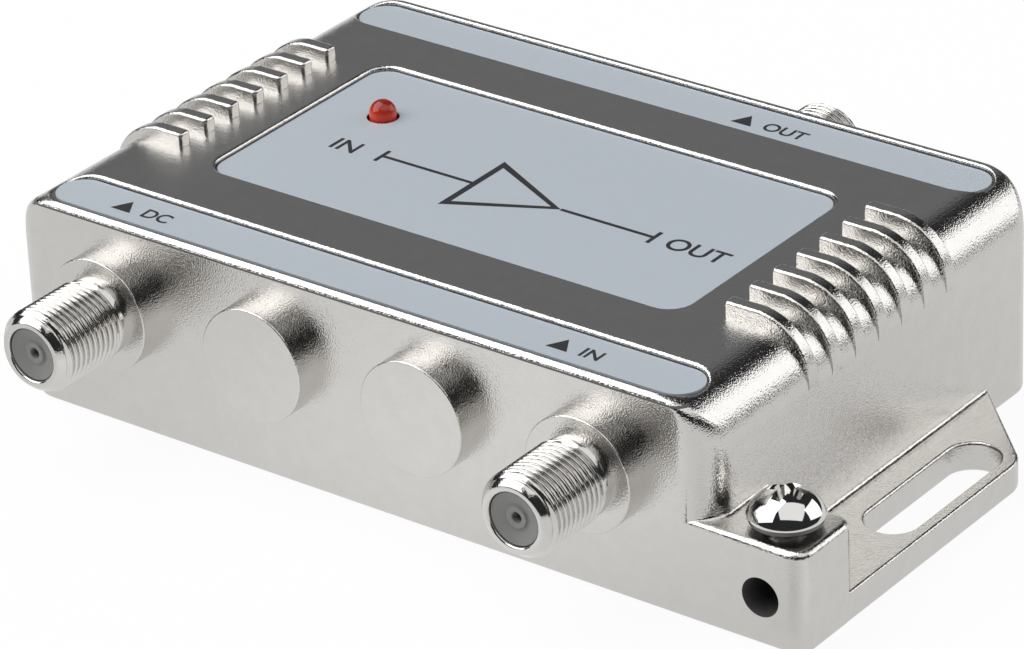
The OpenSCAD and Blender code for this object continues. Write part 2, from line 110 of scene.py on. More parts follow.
# Rounds of a barrel as (radius, height) steps: from the neck's end, and from nose and bore at the tip
NECK_ROUND = ((0, -0.15), (-0.1, -0.05))
NOSE_ROUND = ((0.28, -0.4), (0.08, -0.1), (-0.1, 0))
MOUTH_ROUND = ((0.25, 0), (0.06, -0.08), (0, -0.25))
# Thread: rings a turn, lengths of its start and its end, slope of the end, then the form of its flanks
THREAD_RINGS, RUN_IN, RUN_OUT, RUN_SLOPE = 12, 0.4, 0.3, 0.75
FLANK_GAIN, FLANK_CUT, ON_ROOT = 1.35, 0.18, 0.002
# Dielectric: radius, rim, face, ring round the contact hole, the hole, and the contact's bore behind it
PLUG_R, PLUG_RIM, PLUG_FACE, PLUG_EDGE = 3.02, 13.3, 12.75, 0.08
RING_R, RING_H, HOLE_R, HOLE_L, CONTACT_R = 1.25, 0.25, 0.58, 0.9, 0.98
# Rounds of the dielectric as (radius, height) steps: from the ring at the face, and from the hole at the ring's top
RING_ROUND = ((0.22, 0), (0.05, 0.06))
HOLE_ROUND = ((0.15, 0), (0.04, -0.05), (0, -0.15))

# Lugs and earth block
LUG_X, LUG_T, LUG_END, LUG_ROOT = 57.5, 3.5, 21.0, 41.0
LUG_CORNER_R, LUG_EDGE_R = 1.5, 0.35
SLOT_X, SLOT_HALF_L, SLOT_R = 52.9, 10.7, 3.0
BLOCK_REAR, BLOCK_H, BLOCK_CORNER_R, BLOCK_EDGE_R = -21.3, 11.6, 2.0, 0.8
# Edges further in than this lie inside the housing and stay sharp
INSIDE_X = LUG_ROOT + 0.1
SCREW_AXIS = middle("earth_screw")
WIRE_Z, WIRE_R, WIRE_DEPTH = 5.5, 2.2, 7.2
# Edge of the wire hole: how much wider its cutter grows outside, and how deep the widening reaches
WIRE_FLARE, WIRE_EDGE = 0.5, 0.05
SCREW_BORE_R = 2.05
# Fillets at the foot of the side: radius, radius at an open end, and depth in wall and floor
FILLET_R, FILLET_END_R, FILLET_SUNK = 0.5, 0.1, 0.2
# The fillet on the block starts at this angle of the corner and grows to full size in even steps
FILLET_FROM, FILLET_FIRST, FILLET_GROWTH, FILLET_LEAD = 30, 0.15, 0.3, 2

# Lamp: radius and top of its lens, thickness of its flange, and its hole in the casting
lamp_low, lamp_high = box("status_led")
LAMP_AXIS = middle("status_led")
LAMP_R, LAMP_TOP, FLANGE_T = 1.55, lamp_high.z + 0.33, 1
LAMP_HOLE_R, LAMP_HOLE_Z = 1.85, (20, 27)
# Heights between which the lens goes from its painted glow of focused light to its painted shade at the top
LENS_PAINTED_LIGHT = (24.9, 26.2)

# Earth screw: head with its rim, shank, and the angle at which the dome of the head meets the rim
screw_low, screw_high = box("earth_screw")
HEAD_R, HEAD_RIM, HEAD_H, HEAD_EDGE, HEAD_START = 4.1, 0.2, 2.9, 0.12, 15
HEAD_Z = screw_high.z - HEAD_H
SHANK_R, SHANK_DEPTH, SHANK_PITCH, SHANK_RING, SHANK_NECK, SHANK_LEAD = 2.0, 0.32, 0.7, 0.06, 0.3, 0.5
# Cross recess: half length and half width at heights from the top of the head
CROSS = ((0.9, 0.33, -1.9), (2.3, 0.62, 0), (2.7, 0.72, 0.5))

# Captive washer
washer_low, washer_high = box("earth_washer")
WASHER_R, WASHER_HOLE, WASHER_EDGE = (washer_high.x - washer_low.x) / 2, 2.3, 0.1


# Ways of modelling

def arc(start, end, count):
    """Angles from start to end degrees, in radians."""
    return [math.radians(start + (end - start) * i / count) for i in range(count + 1)]


def alone(*objects):
    """Selects these objects and nothing else, with the first one active."""
    bpy.ops.object.select_all(action="DESELECT")
    for obj in objects:
        obj.select_set(True)
    bpy.context.view_layer.objects.active = objects[0] if objects else None


def named(name):
    obj = bpy.context.active_object
    obj.name = obj.data.name = name
    return obj


def clean(obj):
    """Merges points that coincide and turns the faces outward."""
    alone(obj)
    bpy.ops.object.mode_set(mode="EDIT")
    bpy.ops.mesh.select_all(action="SELECT")
    bpy.ops.mesh.remove_doubles(threshold=MERGE)
    bpy.ops.mesh.normals_make_consistent(inside=False)
    bpy.ops.object.mode_set(mode="OBJECT")
    return obj


def slab(name, low, high):
    """A box between two corners."""
    alone()
    size = [b - a for a, b in zip(low, high)]
    bpy.ops.mesh.primitive_cube_add(size=1, location=[(a + b) / 2 for a, b in zip(low, high)], scale=size)
    bpy.ops.object.transform_apply(location=True, rotation=False, scale=True)
    return named(name)


def turned(name, profile, steps=96, loop=False):
    """A profile of (radius, height) points turned about Z. A radius of 0 closes an end, and a loop closes
    on itself."""
    alone()
    radius, foot = profile[0]
    bpy.ops.mesh.primitive_circle_add(vertices=steps, radius=max(radius, POLE_R), location=(0, 0, foot))
    bpy.ops.object.transform_apply(location=True, rotation=False, scale=False)
    bpy.ops.object.mode_set(mode="EDIT")
    bpy.ops.mesh.select_all(action="SELECT")
    for (r0, h0), (r1, h1) in zip(profile, profile[1:] + profile[:1] * loop):
        bpy.ops.mesh.extrude_edges_move(TRANSFORM_OT_translate={"value": (0, 0, h1 - h0)})
        grow = max(r1, POLE_R) / max(r0, POLE_R)
        bpy.ops.transform.resize(value=(grow, grow, 1), center_override=(0, 0, h1))
    bpy.ops.mesh.select_all(action="SELECT")
    bpy.ops.mesh.remove_doubles(threshold=POLE_MERGE if 0 in (profile[0][0], profile[-1][0]) else MERGE)
    bpy.ops.object.mode_set(mode="OBJECT")
    return clean(named(name))


def rod(name, radius, low, high, steps=96):
    return turned(name, [(0, low), (radius, low), (radius, high), (0, high)], steps)


def loft(name, rings):
    """A closed skin over rings of equally many points."""
    count = len(rings[0])
    points = [point for ring in rings for point in ring]
    faces = [tuple(range(count)), tuple(range(len(points) - count, len(points)))]
    for start in range(0, len(points) - count, count):
        for i in range(count):
            a, b = start + i, start + (i + 1) % count
            faces.append((a, b, b + count, a + count))
    mesh = bpy.data.meshes.new(name)
    mesh.from_pydata(points, [], faces)
    obj = bpy.data.objects.new(name, mesh)
    scene.collection.objects.link(obj)
    return clean(obj)


def level(points, z):
    return [(x, y, z) for x, y in points]


def outline(w, d, r, y=0.0, steps=10):
    """A rectangle of half sides w and d with round corners, about (0, y)."""
    points = []
    for sx, sy, start in ((1, 1, 0), (-1, 1, 90), (-1, -1, 180), (1, -1, 270)):
        for a in arc(start, start + 90, steps):
            points.append((sx * (w - r) + r * math.cos(a), y + sy * (d - r) + r * math.sin(a)))
    return points


def bevel(obj, test, offset, segments=5):
    """Rounds the edges whose two ends pass the test."""
    alone(obj)
    mesh = obj.data
    for items in (mesh.vertices, mesh.edges, mesh.polygons):
        items.foreach_set("select", [False] * len(items))
    for edge in mesh.edges:
        edge.select = test(*(mesh.vertices[i].co for i in edge.vertices))
    bpy.ops.object.mode_set(mode="EDIT")
    bpy.ops.mesh.bevel(offset=offset, segments=segments, profile=0.5, affect="EDGES", clamp_overlap=False)
    bpy.ops.object.mode_set(mode="OBJECT")


def bevel_at(obj, z, radius):
    """Rounds the edges at a height, apart from those inside the housing."""
    bevel(obj, lambda a, b: abs(a.z - z) + abs(b.z - z) < NEAR and max(a.x, b.x) > INSIDE_X, radius)


def combine(obj, tool, how):
    """Cuts a tool out of obj or adds it to it, and the tool is gone."""
    modifier = obj.modifiers.new("combine", "BOOLEAN")
    modifier.object, modifier.operation, modifier.solver = tool, how, "EXACT"
    alone(obj)
    bpy.ops.object.modifier_apply(modifier=modifier.name)
    bpy.data.objects.remove(tool)


def cut(obj, *tools):
    for tool in tools:
        combine(obj, tool, "DIFFERENCE")


def join(obj, *others):
    alone(obj, *others)
    bpy.ops.object.join()
    return obj


def copy(obj, matrix):
    """A second object of the same shape, moved by a matrix."""
    twin = obj.copy()
    twin.data = obj.data.copy()
    scene.collection.objects.link(twin)
    twin.data.transform(matrix)
    return clean(twin)


def place(obj, matrix):
    obj.data.transform(matrix)
    return obj


def upright(axis):
    """The matrix that brings a piece modelled about Z to an upright axis."""
    return Matrix.Translation((axis.x, axis.y, 0))


def facing(x, rear=False):
    """The matrix that brings a piece modelled along Z to a port's place on the front or the rear wall."""
    side = 1 if rear else -1
    return Matrix.Translation((x, side * HALF_D, PORT_Z)) @ Matrix.Rotation(math.radians(-90 * side), 4, "X")


def finish(obj, body, slot, material, *nodes, smooth=35):
    """Brings a piece to metres, smooths it, gives it its material and lets it ride its body."""
    obj.data.transform(Matrix.Scale(MM, 4))
    alone(obj)
    bpy.ops.object.shade_smooth_by_angle(angle=math.radians(smooth))
    modifier = obj.modifiers.new("weighted", "WEIGHTED_NORMAL")
    modifier.keep_sharp = True
    bpy.ops.object.modifier_apply(modifier=modifier.name)
    obj.data.materials.clear()
    obj.data.materials.append(material)
    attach(obj, body)
    if nodes:
        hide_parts(*nodes)
    return obj


# Materials

class Link:
    """A socket of a node tree: arithmetic on it adds Math nodes, and node() adds any other kind."""

    def __init__(self, tree, socket=None):
        self.tree, self.socket = tree, socket

    def node(self, kind, settings=None, values=None, output=0):
        made = self.tree.nodes.new(kind)
        for name, value in (settings or {}).items():
            setattr(made, name, value)
        for key, value in (values or {}).items():
            if isinstance(value, Link):
                self.tree.links.new(value.socket, made.inputs[key])
            else:
                made.inputs[key].default_value = value
        return Link(self.tree, made.outputs[output] if made.outputs else None)

    def math(self, operation, first, second):
        return self.node("ShaderNodeMath", {"operation": operation}, {0: first, 1: second})

    def __add__(self, other):
        return self.math("ADD", self, other)

    __radd__ = __add__

    def __sub__(self, other):
        return self.math("SUBTRACT", self, other)

    def __rsub__(self, other):
        return self.math("SUBTRACT", other, self)

    def __mul__(self, other):
        return self.math("MULTIPLY", self, other)

    __rmul__ = __mul__


def tree_of(block):
    """An empty node tree of a material or a world."""
    block.use_nodes = True
    block.node_tree.nodes.clear()
    return Link(block.node_tree)


# Weight of the finer noise, and how many grains wide the broad patches of tint are
NOISE_ROUGHNESS, PATCH_GRAINS = 0.6, 12


def noise(start, size, detail=2.0):
    """Noise with grains of a size in millimetres."""
    where = start.node("ShaderNodeTexCoord", output="Object")
    return start.node("ShaderNodeTexNoise", None,
                      {"Vector": where, "Scale": 1 / (size * MM), "Detail": detail, "Roughness": NOISE_ROUGHNESS})


def mix(start, factor, first, second):
    return start.node("ShaderNodeMix", {"data_type": "RGBA"},
                      {0: factor, 6: (*first, 1), 7: (*second, 1)}, output=2)


def ramp(start, value, low, high, first, last, kind="SMOOTHSTEP"):
    """Runs from first to last while a value goes from low to high."""
    return start.node("ShaderNodeMapRange", {"interpolation_type": kind}, {
        "Value": value, "From Min": low, "From Max": high, "To Min": first, "To Max": last})


def height(low, high):
    """How far a point lies up between two heights in millimetres."""
    def share(start):
        where = start.node("ShaderNodeTexCoord", output="Object")
        rise = start.node("ShaderNodeSeparateXYZ", None, {0: where}, output="Z")
        return ramp(start, rise, low * MM, high * MM, 0.0, 1.0, "LINEAR")
    return share


def surface(name, tint, dark, roughness, metallic=0.0, grain=0.2, bump=0.1, depth=0.01, spread=0.1, detail=2.0,
            blend=None):
    """A finish with grain of a size in millimetres: two tints, a spread of roughness, and a bump of a depth in
    millimetres. The tints blend by broad noise or as stated."""
    made = bpy.data.materials.new(name)
    start = tree_of(made)
    fine = noise(start, grain, detail)
    share = blend(start) if blend else noise(start, PATCH_GRAINS * grain)
    raised = start.node("ShaderNodeBump", None, {"Strength": bump, "Distance": depth * MM, "Height": fine})
    shader = start.node("ShaderNodeBsdfPrincipled", None, {
        "Base Color": mix(start, share, dark, tint), "Roughness": roughness + spread * (fine - 0.5),
        "Metallic": metallic, "Normal": raised})
    start.node("ShaderNodeOutputMaterial", None, {"Surface": shader})
    return made


CAST = surface("cast_nickel", (0.68, 0.665, 0.64), (0.62, 0.605, 0.585), roughness=0.09, metallic=1.0,
               bump=1.0, depth=0.045, spread=0.06, detail=1.0)
TURNED = surface("turned_nickel", (0.70, 0.685, 0.66), (0.62, 0.61, 0.59), roughness=0.11, metallic=1.0,
                 grain=0.25, bump=0.6, depth=0.025, spread=0.06)
POLISHED = surface("polished_nickel", (0.74, 0.73, 0.71), (0.70, 0.69, 0.67), roughness=0.05, metallic=1.0,
                   grain=0.3, bump=0.05, depth=0.005, spread=0.02)
DARK_STEEL = surface("dark_steel", (0.20, 0.20, 0.21), (0.12, 0.12, 0.12), roughness=0.35, metallic=1.0, bump=0.3)
SHEET = surface("sheet_steel", (0.62, 0.62, 0.62), (0.52, 0.52, 0.53), roughness=0.3, metallic=1.0,
                grain=0.4, bump=0.2)
TINNED = surface("tinned_metal", (0.70, 0.70, 0.69), (0.60, 0.60, 0.60), roughness=0.25, metallic=1.0,
                 grain=0.3, bump=0.2)
PLUG = surface("grey_dielectric", (0.25, 0.252, 0.245), (0.21, 0.212, 0.205), roughness=0.5, bump=0.2)
BRONZE = surface("contact_bronze", (0.62, 0.45, 0.22), (0.50, 0.36, 0.18), roughness=0.25, metallic=1.0)
FOIL = surface("label_foil", (0.53, 0.58, 0.635), (0.51, 0.56, 0.615), roughness=0.42, metallic=0.15,
               grain=0.12, bump=0.12, depth=0.006)
# The lens colour holds painted light: a glow of focused light low down, and painted shade at its top
LENS = surface("red_lens", (0.30, 0.018, 0.013), (0.72, 0.05, 0.024), roughness=0.06,
               grain=0.5, bump=0.02, depth=0.005, spread=0.02, blend=height(*LENS_PAINTED_LIGHT))
LAMINATE = surface("board_laminate", (0.02, 0.16, 0.06), (0.015, 0.12, 0.045), roughness=0.35, grain=0.4)
MOULDING = surface("black_moulding", (0.02, 0.02, 0.02), (0.012, 0.012, 0.012), roughness=0.45,
                   grain=0.15, bump=0.3)
PAD = surface("soft_pad", (0.30, 0.33, 0.36), (0.25, 0.28, 0.30), roughness=0.7, grain=0.3, bump=0.3, depth=0.02)
CAN = surface("capacitor_can", (0.03, 0.04, 0.07), (0.02, 0.03, 0.05), roughness=0.35, grain=0.3)
FERRITE = surface("ferrite", (0.06, 0.06, 0.065), (0.035, 0.035, 0.04), roughness=0.5,
                  grain=0.12, bump=0.4, depth=0.02)
COPPER = surface("copper_wire", (0.70, 0.30, 0.14), (0.60, 0.25, 0.11), roughness=0.25, metallic=1.0)
# Painted shade: a dark material for the inside of the wire hole and the gaps round the labels
PAINTED_SHADE = surface("painted_shade_dark", (0.12, 0.12, 0.12), (0.08, 0.08, 0.08), roughness=0.5, bump=0.4, depth=0.02)
CERAMIC = surface("ceramic", (0.48, 0.38, 0.26), (0.42, 0.33, 0.22), roughness=0.4)
INK = surface("print_ink", (0.025, 0.026, 0.03), (0.018, 0.019, 0.022), roughness=0.5, grain=0.1, depth=0.004)


# Housing

def arched(half_w, half_d, corner, roll, foot, top, *edges):
    """Rings of a block with rolled sides from a foot to its top. The upright corners grow tighter on the roll.
    The edges are the rounds of the upper front and rear edge."""
    rings = []
    turns = arc(0, 90, ROLL_STEPS)
    for edge in edges:
        turns += [math.asin((roll - edge * (1 - math.sin(a))) / roll) for a in arc(0, 90, EDGE_STEPS)]
    turns.sort()
    turns = [b for a, b in zip([-1] + turns, turns) if b - a > LEAST_TURN]
    turns[-1] = math.pi / 2
    tight = min(corner, TIGHT_R)
    for a in turns:
        z, w = top - roll * (1 - math.sin(a)), half_w - roll * (1 - math.cos(a))
        front, rear = [half_d - edge + math.sqrt(max(0.0, edge ** 2 - max(0.0, z - top + edge) ** 2))
                       for edge in edges or (0, 0)]
        left = max(0.0, 1 - (half_w - w) / corner)
        radius = tight + (corner - tight) * left ** TIGHT_POWER
        rings.append(level(outline(w, (front + rear) / 2, radius, (rear - front) / 2), z))
    return [level(outline(half_w, half_d, corner), foot)] + rings


def drop(x):
    """How far the rolled side lies below the top at x."""
    beyond = max(0.0, abs(x) - ROLL_X)
    return ROLL_R - math.sqrt(max(0.0, ROLL_R ** 2 - beyond ** 2))


def recess(w, d, r, y, rim):
    """The cutter of a label's recess, flared to a round rim that follows the rolled sides."""
    rings = [level(outline(w, d, r, y, RECESS_STEPS), RECESS_Z)]
    for a in arc(0, 90, 4):
        grow, rise = rim * (1 - math.cos(a)), rim * (math.sin(a) - 1)
        least = RECESS_Z + RIM_LEAST + RIM_SLOPE * (rise + rim)
        rings.append([(px, py, max(least, TOP + rise - drop(px)))
                      for px, py in outline(w + grow, d + grow, r + grow, y, RECESS_STEPS)])
    rings.append(level(outline(w + rim, d + rim, r + rim, y, RECESS_STEPS), TOP + 2 * OVER))
    return loft("recess", rings)


def fin(inner):
    """One fin of the right side about Y 0, from its inner end over the top and down the roll. Its stations are
    a way along the casting and a height above it."""
    stations = []
    for a in arc(0, 90, 5):
        stations.append((FIN_END_R * (math.sin(a) - 1), FIN_END_R * (1 - math.cos(a))))
    for a in arc(0, 90, 6):
        stations.append((FIN_CREST_R * (1 - math.cos(a)) + NEAR, FIN_H + FIN_CREST_R * (math.sin(a) - 1)))
    flat = ROLL_X - inner
    stations += [(flat * k / 3, FIN_H) for k in (1, 2, 3)]
    shift = Vector((FIN_R - FIN_PROUD - ROLL_R, FIN_R - FIN_H - ROLL_R))
    for a in arc(4, 90, 20):
        lean = shift.x * math.sin(a) + shift.y * math.cos(a)
        reach = -lean + math.sqrt(lean ** 2 + FIN_R ** 2 - shift.length_squared)
        fade = math.degrees(a) / 90
        stations.append((flat + ROLL_R * a, min(FIN_H, reach - ROLL_R) - FIN_SINK * fade))
    rings = []
    for s, h in stations:
        a = max(0.0, s - flat) / ROLL_R
        foot = Vector((inner + min(s, flat) + ROLL_R * math.sin(a), 0, ROLL_Z + ROLL_R * math.cos(a)))
        up = Vector((math.sin(a), 0, math.cos(a)))
        crest = min(FIN_CREST_R, CREST_SHARE * h)
        short = 1 - min(1.0, max(0.0, s) / FIN_TIP_R)
        half = FIN_HALF - FIN_TIP_R * (1 - math.sqrt(1 - short ** 2))
        side = [(half, -FIN_ROOT)]
        side += [(half - crest * (1 - math.cos(t)), h - crest * (1 - math.sin(t))) for t in arc(0, 90, 3)]
        section = side + [(-v, w) for v, w in reversed(side)]
        rings.append([foot + up * w + Vector((0, v, 0)) for v, w in section])
    return loft("fin", rings)


def boss(bored):
    """A port boss along Z from the wall, with a rounded edge."""
    profile = [(BOSS_R, -LAP)]
    profile += [(BOSS_R - BOSS_EDGE_R * (1 - math.cos(a)), BOSS_H - BOSS_EDGE_R * (1 - math.sin(a)))
                for a in arc(0, 90, 4)]
    if bored:
        profile += [(SPIGOT_HOLE_R, BOSS_H), (SPIGOT_HOLE_R, -LAP)]
    else:
        profile = [(0, -LAP)] + profile + [(0, BOSS_H)]
    return turned("boss", profile, loop=bored)


def lug():
    """The right lug with its slot and rounded edges."""
    side, front, low = LUG_X - HAIR, HAIR - HALF_D, HAIR / 2
    plan = [(LUG_ROOT, front)]
    plan += [(side - BLOCK_CORNER_R * (1 - math.sin(a)), front + BLOCK_CORNER_R * (1 - math.cos(a)))
             for a in arc(0, 90, 8)]
    plan += [(side, LUG_END - LUG_X + HALF_W), (HALF_W, LUG_END), (LUG_ROOT, LUG_END)]
    obj = loft("lug", [level(plan, low), level(plan, LUG_T)])
    bevel(obj, lambda a, b: min(a.x, b.x) > side - NEAR and min(a.y, b.y) > 0, LUG_CORNER_R)
    slot = [(x + SLOT_X, y) for x, y in outline(SLOT_R, SLOT_HALF_L, SLOT_R, 0, 16)]
    cut(obj, loft("slot", [level(slot, -OVER), level(slot, LUG_T + OVER)]))
    bevel_at(obj, low, FOOT_R)
    bevel_at(obj, LUG_T, LUG_EDGE_R)
    return obj


def earth_block():
    """The block of the earth terminal, with rounded corners and upper edges."""
    obj = slab("block", (LUG_ROOT, -HALF_D, 0), (LUG_X, BLOCK_REAR, BLOCK_H))
    bevel(obj, lambda a, b: min(a.x, b.x) > LUG_X - NEAR and abs(a.y - b.y) < NEAR, BLOCK_CORNER_R, 8)
    bevel_at(obj, 0, FOOT_R)
    bevel_at(obj, BLOCK_H, BLOCK_EDGE_R)
    return obj


def fillet(path, z):
    """A concave strip in the corner between a wall and a floor at z. The path has points of
    (x, y, outward x, outward y, radius)."""
    rings = []
    for x, y, ox, oy, r in path:
        section = [(-FILLET_SUNK, -FILLET_SUNK), (r, -FILLET_SUNK), (r, -NEAR)]
        section += [(r * (1 - math.sin(a)), r * (1 - math.cos(a))) for a in arc(15, 90, 5)]
        section += [(-FILLET_SUNK, r)]
        rings.append([(x + ox * u, y + oy * u, z + v) for u, v in section])
    return loft("fillet", rings)


def shell():
    """The hollow casting with lugs, earth block and label recesses."""
    rings = []
    for a in arc(0, 90, 4)[:-1]:
        inset = FOOT_R * (1 - math.sin(a))
        plan = outline(HALF_W - inset, HALF_D - inset, CORNER_R - inset)
        rings.append(level(plan, FOOT_R * (1 - math.cos(a))))
    rings += arched(HALF_W, HALF_D, CORNER_R, ROLL_R, FOOT_R, TOP, EDGE_R, REAR_EDGE_R)
    obj = loft("housing_casting", rings)
    right = lug()
    left = copy(right, Matrix.Rotation(math.pi, 4, "Z"))
    for piece in (earth_block(), right, left):
        combine(obj, piece, "UNION")
    inner = arched(HALF_W - WALL, HALF_D - WALL, CORNER_R - WALL, ROLL_R - WALL, SEAT_Z - LAP, CEILING)
    cut(obj, loft("cavity", inner))
    seat = outline(HALF_W - WALL + LEDGE, HALF_D - WALL + LEDGE, CORNER_R - WALL + LEDGE)
    cut(obj, loft("seat", [level(seat, -OVER), level(seat, SEAT_Z)]))
    cut(obj, *(recess(*sizes) for sizes in RECESSES.values()))
    return obj


def drill(obj):
    """Cuts the holes of the lamp, the ports, the earth wire and its screw."""
    cut(obj, place(rod("lamp_hole", LAMP_HOLE_R, *LAMP_HOLE_Z, 48), upright(LAMP_AXIS)))
    for name, x in PORTS.items():
        hole = rod("bore", SPIGOT_HOLE_R, -SPIGOT_HOLE_L, SPIGOT_HOLE_L)
        cut(obj, place(hole, facing(x, name == "output")))
    wire = [(0, OVER), (WIRE_R + WIRE_FLARE, OVER), (WIRE_R, -WIRE_EDGE), (WIRE_R, -WIRE_DEPTH), (0, -WIRE_DEPTH)]
    to_front = Matrix.Translation((SCREW_AXIS.x, -HALF_D, WIRE_Z)) @ Matrix.Rotation(math.radians(90), 4, "X")
    cut(obj, place(turned("wire_hole", wire, 64), to_front))
    cut(obj, place(rod("screw_bore", SCREW_BORE_R, WIRE_Z, BLOCK_H + OVER, 48), upright(SCREW_AXIS)))


def fins():
    row = []
    for inner, turn in ((FIN_RIGHT, Matrix.Identity(4)), (FIN_LEFT, Matrix.Scale(-1, 4, (1, 0, 0)))):
        one = fin(inner)
        for i in range(FIN_COUNT):
            y = FIN_SHIFT + (i - (FIN_COUNT - 1) / 2) * FIN_PITCH
            row.append(copy(one, Matrix.Translation((0, y, 0)) @ turn))
        bpy.data.objects.remove(one)
    return row


def bosses():
    row = [place(boss(False), facing(x)) for x in BLANKS]
    return row + [place(boss(True), facing(x, name == "output")) for name, x in PORTS.items()]


def fillets():
    """Strips at the foot of the side: round the corner on the earth block, and along both lugs."""
    corner = [(HALF_W - CORNER_R + CORNER_R * math.sin(a), -HALF_D + CORNER_R - CORNER_R * math.cos(a),
               math.sin(a), -math.cos(a)) for a in arc(FILLET_FROM, 90, 10)]
    corner.append((HALF_W, BLOCK_REAR + LAP, 1, 0))
    path = []
    for i, at in enumerate(corner):
        to_end = min(i, len(corner) - 1 - i + FILLET_LEAD)
        path.append((*at, FILLET_R * min(1, FILLET_FIRST + FILLET_GROWTH * to_end)))
    made = [fillet(path, BLOCK_H)]
    for side, start in ((1, BLOCK_REAR - OVER), (-1, CORNER_R - HALF_D)):
        run = ((start, FILLET_R), (LUG_END - 1, FILLET_R), (LUG_END - FILLET_SUNK, FILLET_END_R))
        made.append(fillet([(side * HALF_W, side * y, side, 0, r) for y, r in run], LUG_T))
    return made


def supports():
    """The posts of the board and the pedestal that takes the heat of its chip."""
    made = []
    board = box("circuit_board")[1]
    for sx, sy in ((1, 1), (1, -1), (-1, 1), (-1, -1)):
        post = rod("post", POST_R, board.z, CEILING + OVER, 32)
        made.append(place(post, Matrix.Translation((sx * (board.x - POST_INSET), sy * POST_Y, 0))))
    low, high = box("thermal_pad")
    made.append(slab("pedestal", (low.x, low.y, high.z), (high.x, high.y, CEILING + OVER)))
    return made


def housing():
    obj = shell()
    drill(obj)
    return join(obj, *fins(), *bosses(), *fillets(), *supports())


casting = finish(housing(), "amplifier", "cast_nickel", CAST, "housing")
# The wire hole and the floors under the labels take a dark material: painted shade in the hole and in the gaps round
# the labels
casting.data.materials.append(PAINTED_SHADE)
for face in casting.data.polygons:
    at = face.center / MM
    off_axis = math.hypot(at.x - SCREW_AXIS.x, at.z - WIRE_Z)
    in_hole = off_axis < WIRE_R + HAIR and HAIR - HALF_D < at.y < BLOCK_REAR
    if in_hole or abs(at.z - RECESS_Z) < NEAR:
        face.material_index = 1


# Ports

def threaded(obj, root, crest, pitch, limit):
    """Raises a right-handed thread on the points of a turned piece that lie on its root. The limit gives the
    largest radius at a height."""
    for vertex in obj.data.vertices:
        x, y, h = vertex.co
        if abs(math.hypot(x, y) - root) < ON_ROOT:
            phase = (h / pitch - math.atan2(y, x) / math.tau) % 1
            ridge = min(1.0, max(0.0, (1 - abs(2 * phase - 1)) * FLANK_GAIN - FLANK_CUT))
            grow = min(root + (crest - root) * ridge * ridge * (3 - 2 * ridge), limit(h)) / root
            vertex.co = (x * grow, y * grow, h)


def barrel():
    """A port's threaded barrel along Z from the wall."""
    root = THREAD_R - THREAD_DEPTH
    length = THREAD_END + RUN_OUT - NECK_END
    count = round(length / THREAD_PITCH * THREAD_RINGS)
    profile = [(SPIGOT_R, -SPIGOT_L), (SPIGOT_R, NECK_SEAT), (NECK_R, NECK_SEAT)]
    profile += [(NECK_R + r, NECK_END + h) for r, h in NECK_ROUND]
    profile += [(root, NECK_END + length * i / count) for i in range(count + 1)]
    profile += [(NOSE_R + r, TIP + h) for r, h in NOSE_ROUND]
    profile += [(BORE_R + r, TIP + h) for r, h in MOUTH_ROUND]
    profile += [(BORE_R, -SPIGOT_L)]
    obj = turned("port_barrel", profile, loop=True)

    def limit(h):
        start = root + THREAD_DEPTH * min(1.0, max(0.0, (h - NECK_END) / RUN_IN))
        end = THREAD_R - max(0.0, h - THREAD_END + RUN_OUT) * RUN_SLOPE
        return max(root - HAIR, min(start, end))

    threaded(obj, root, THREAD_R, THREAD_PITCH, limit)
    return obj


def plug():
    """The grey dielectric of a port, with a ring round the contact hole."""
    ring, behind = PLUG_FACE + RING_H, PLUG_FACE - HOLE_L
    profile = [(CONTACT_R, -SPIGOT_L), (PLUG_R, -SPIGOT_L)]
    profile += [(PLUG_R, PLUG_RIM - PLUG_EDGE), (PLUG_R - PLUG_EDGE, PLUG_RIM)]
    profile += [(RING_R + r, PLUG_FACE + h) for r, h in RING_ROUND]
    profile += [(RING_R, ring - PLUG_EDGE), (RING_R - PLUG_EDGE, ring)]
    profile += [(HOLE_R + r, ring + h) for r, h in HOLE_ROUND]
    profile += [(HOLE_R, behind), (CONTACT_R, behind)]
    return turned("port_plug", profile, 72, loop=True)


for name, x in PORTS.items():
    at = facing(x, name == "output")
    made = place(barrel(), at)
    made.name = name + "_barrel"
    finish(made, "amplifier", "turned_nickel", TURNED, name + "_port", smooth=50)
    made = place(plug(), at)
    made.name = name + "_plug"
    finish(made, "amplifier", "grey_dielectric", PLUG, name + "_insulator")


# Lamp, screw and washer

def lens():
    """The lamp's lens on its flange, about Z."""
    flange_r, flange_z = (lamp_high.x - lamp_low.x) / 2, lamp_low.z + FLANGE_T
    profile = [(0, lamp_low.z), (flange_r, lamp_low.z), (flange_r, flange_z), (LAMP_R, flange_z)]
    profile += [(LAMP_R * math.cos(a), LAMP_TOP - LAMP_R + LAMP_R * math.sin(a)) for a in arc(0, 90, 10)[:-1]]
    return turned("lamp_lens", profile + [(0, LAMP_TOP)], 48)


